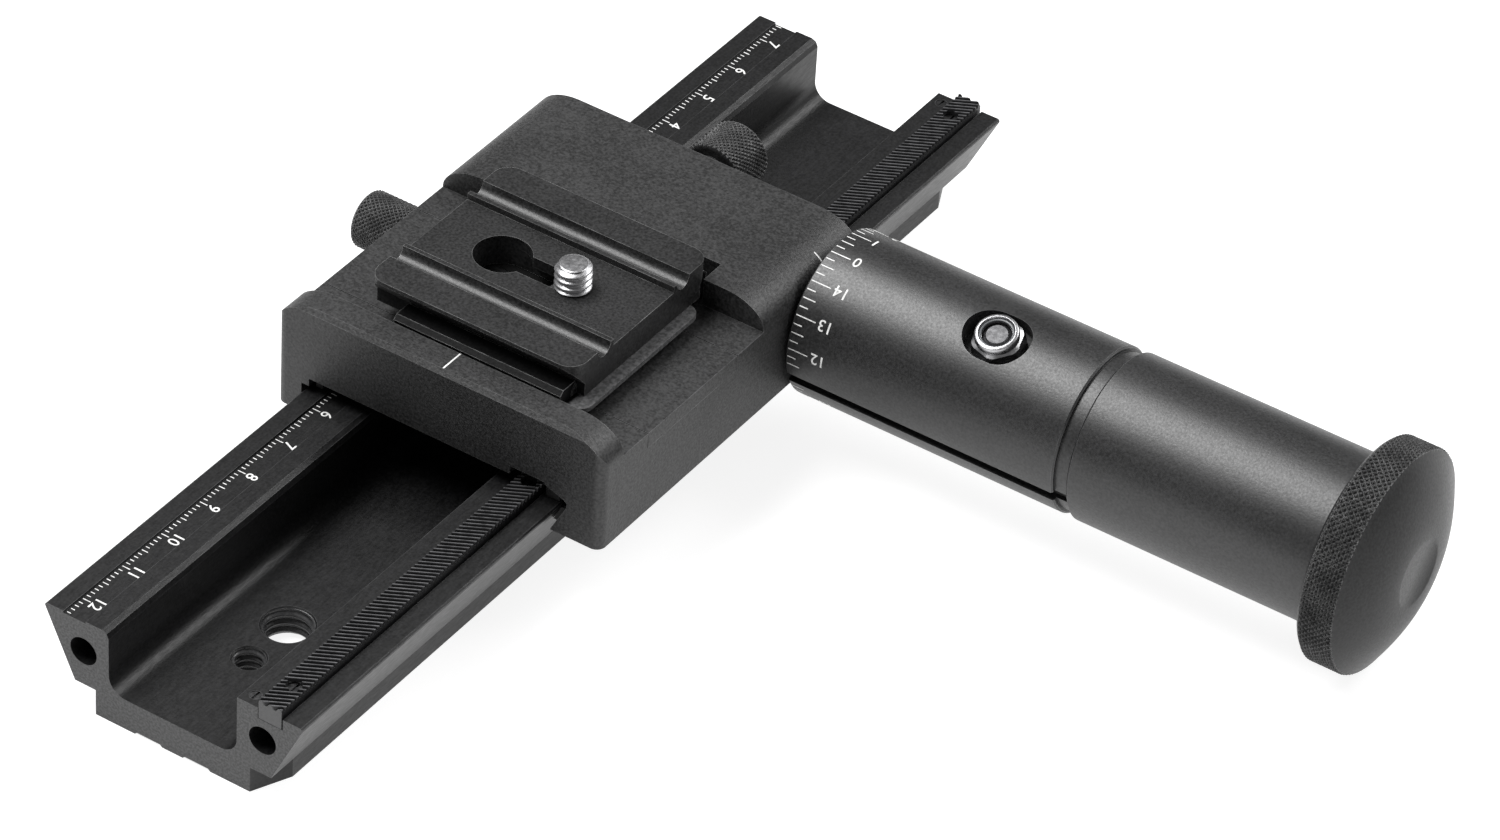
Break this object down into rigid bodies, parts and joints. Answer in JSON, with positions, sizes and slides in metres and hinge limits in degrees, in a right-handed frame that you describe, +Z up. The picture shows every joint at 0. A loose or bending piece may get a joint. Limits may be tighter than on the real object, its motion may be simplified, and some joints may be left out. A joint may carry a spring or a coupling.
{
  "type": "camera focusing slider",
  "caption": "Rack-driven focusing slider: a dovetail rail with a carriage, a quick-release camera plate, a lock knob and a long drive handle with a printed dial.",
  "frame": {"origin": "middle of the rail's underside, halfway along its length", "axes": "+X towards the drive handle, +Y along the rail towards its far end, +Z up towards the camera plate"},
  "size_m": [0.1905, 0.2, 0.0432],
  "materials": {
    "black_anodised": "black anodised, fine satin",
    "black_textured": "black anodised over a fine blasted grain",
    "sleeve_black": "black anodised, turned",
    "knurled_black": "black anodised knurling",
    "machined_grey": "bare machined",
    "dark_steel": "oiled, milled teeth",
    "bright_screw": "bright plated steel",
    "bronze": "sintered bushing",
    "polymer": "low-friction polymer",
    "core_plastic": "moulded",
    "scale_white": "printed white scale paint"
  },
  "bodies": {
    "rail": {"rail_extrusion": "black_anodised", "rack_strip": "dark_steel", "rack_screws": "bright_screw", "rib_screws": "bright_screw"},
    "carriage": {"carriage_block": "black_textured", "seat_insert": "black_textured", "glide_pads": "polymer", "gib_strip": "polymer", "gib_screws": "bright_screw", "shaft_bush": "bronze", "clamp_base": "machined_grey", "clamp_base_screws": "bright_screw", "fixed_jaw": "black_anodised", "fixed_jaw_screws": "bright_screw"},
    "drive": {"drive_shaft": "bright_screw", "pinion": "bright_screw", "retaining_ring": "dark_steel", "thrust_washer": "polymer", "drive_core": "core_plastic", "dial_sleeve": "sleeve_black", "clamp_stud": "bright_screw", "clamp_nut": "bright_screw", "handle_tube": "sleeve_black", "end_knob": "knurled_black", "knob_cap": "sleeve_black"},
    "lock": {"lock_screw": "bright_screw", "lock_knob": "knurled_black"},
    "brake": {"brake_shoe": "polymer"},
    "clamp": {"clamp_screw": "bright_screw", "clamp_collar": "black_anodised", "clamp_knob": "knurled_black"},
    "jaw": {"moving_jaw": "black_anodised"},
    "plate": {"qr_plate": "black_textured"},
    "screw_slider": {"screw_washer": "polymer"},
    "screw": {"camera_screw": "bright_screw"}
  },
  "joints": [
    {"name": "carriage_slide", "type": "slide", "parent": "rail", "child": "carriage", "axis": [0, 1, 0], "range_m": [-0.067, 0.059]},
    {"name": "drive_spin", "type": "hinge", "parent": "carriage", "child": "drive", "pos_m": [0.06, 0.03357, 0.02182], "axis": [1, 0, 0], "range_deg": [-1425, 1615]},
    {"name": "lock_turn", "type": "hinge", "parent": "carriage", "child": "lock", "pos_m": [-0.04, 0.01175, 0.0172], "axis": [1, 0, 0], "range_deg": [0, 180]},
    {"name": "brake_slide", "type": "slide", "parent": "carriage", "child": "brake", "axis": [1, 0, 0], "range_m": [0, 0.00041]},
    {"name": "clamp_turn", "type": "hinge", "parent": "carriage", "child": "clamp", "pos_m": [0.00295, 0.047, 0.0296], "axis": [0, 1, 0], "range_deg": [0, 1030]},
    {"name": "jaw_slide", "type": "slide", "parent": "carriage", "child": "jaw", "axis": [0, 1, 0], "range_m": [0, 0.00198]},
    {"name": "plate_slide", "type": "slide", "parent": "carriage", "child": "plate", "axis": [1, 0, 0], "range_m": [-0.008, 0.008]},
    {"name": "screw_shift", "type": "slide", "parent": "plate", "child": "screw_slider", "axis": [-1, 0, 0], "range_m": [0, 0.0139]},
    {"name": "screw_turn", "type": "hinge", "parent": "screw_slider", "child": "screw", "pos_m": [0.0086, -0.00565, 0.04], "axis": [0, 0, 1], "continuous": true}
  ],
  "couplings": [
    {"joint": "drive_spin", "follows": "carriage_slide", "rad_per_m": -418.88},
    {"joint": "brake_slide", "follows": "lock_turn", "m_per_rad": 0.00012732},
    {"joint": "clamp_turn", "follows": "jaw_slide", "rad_per_m": 8991.1}
  ]
}
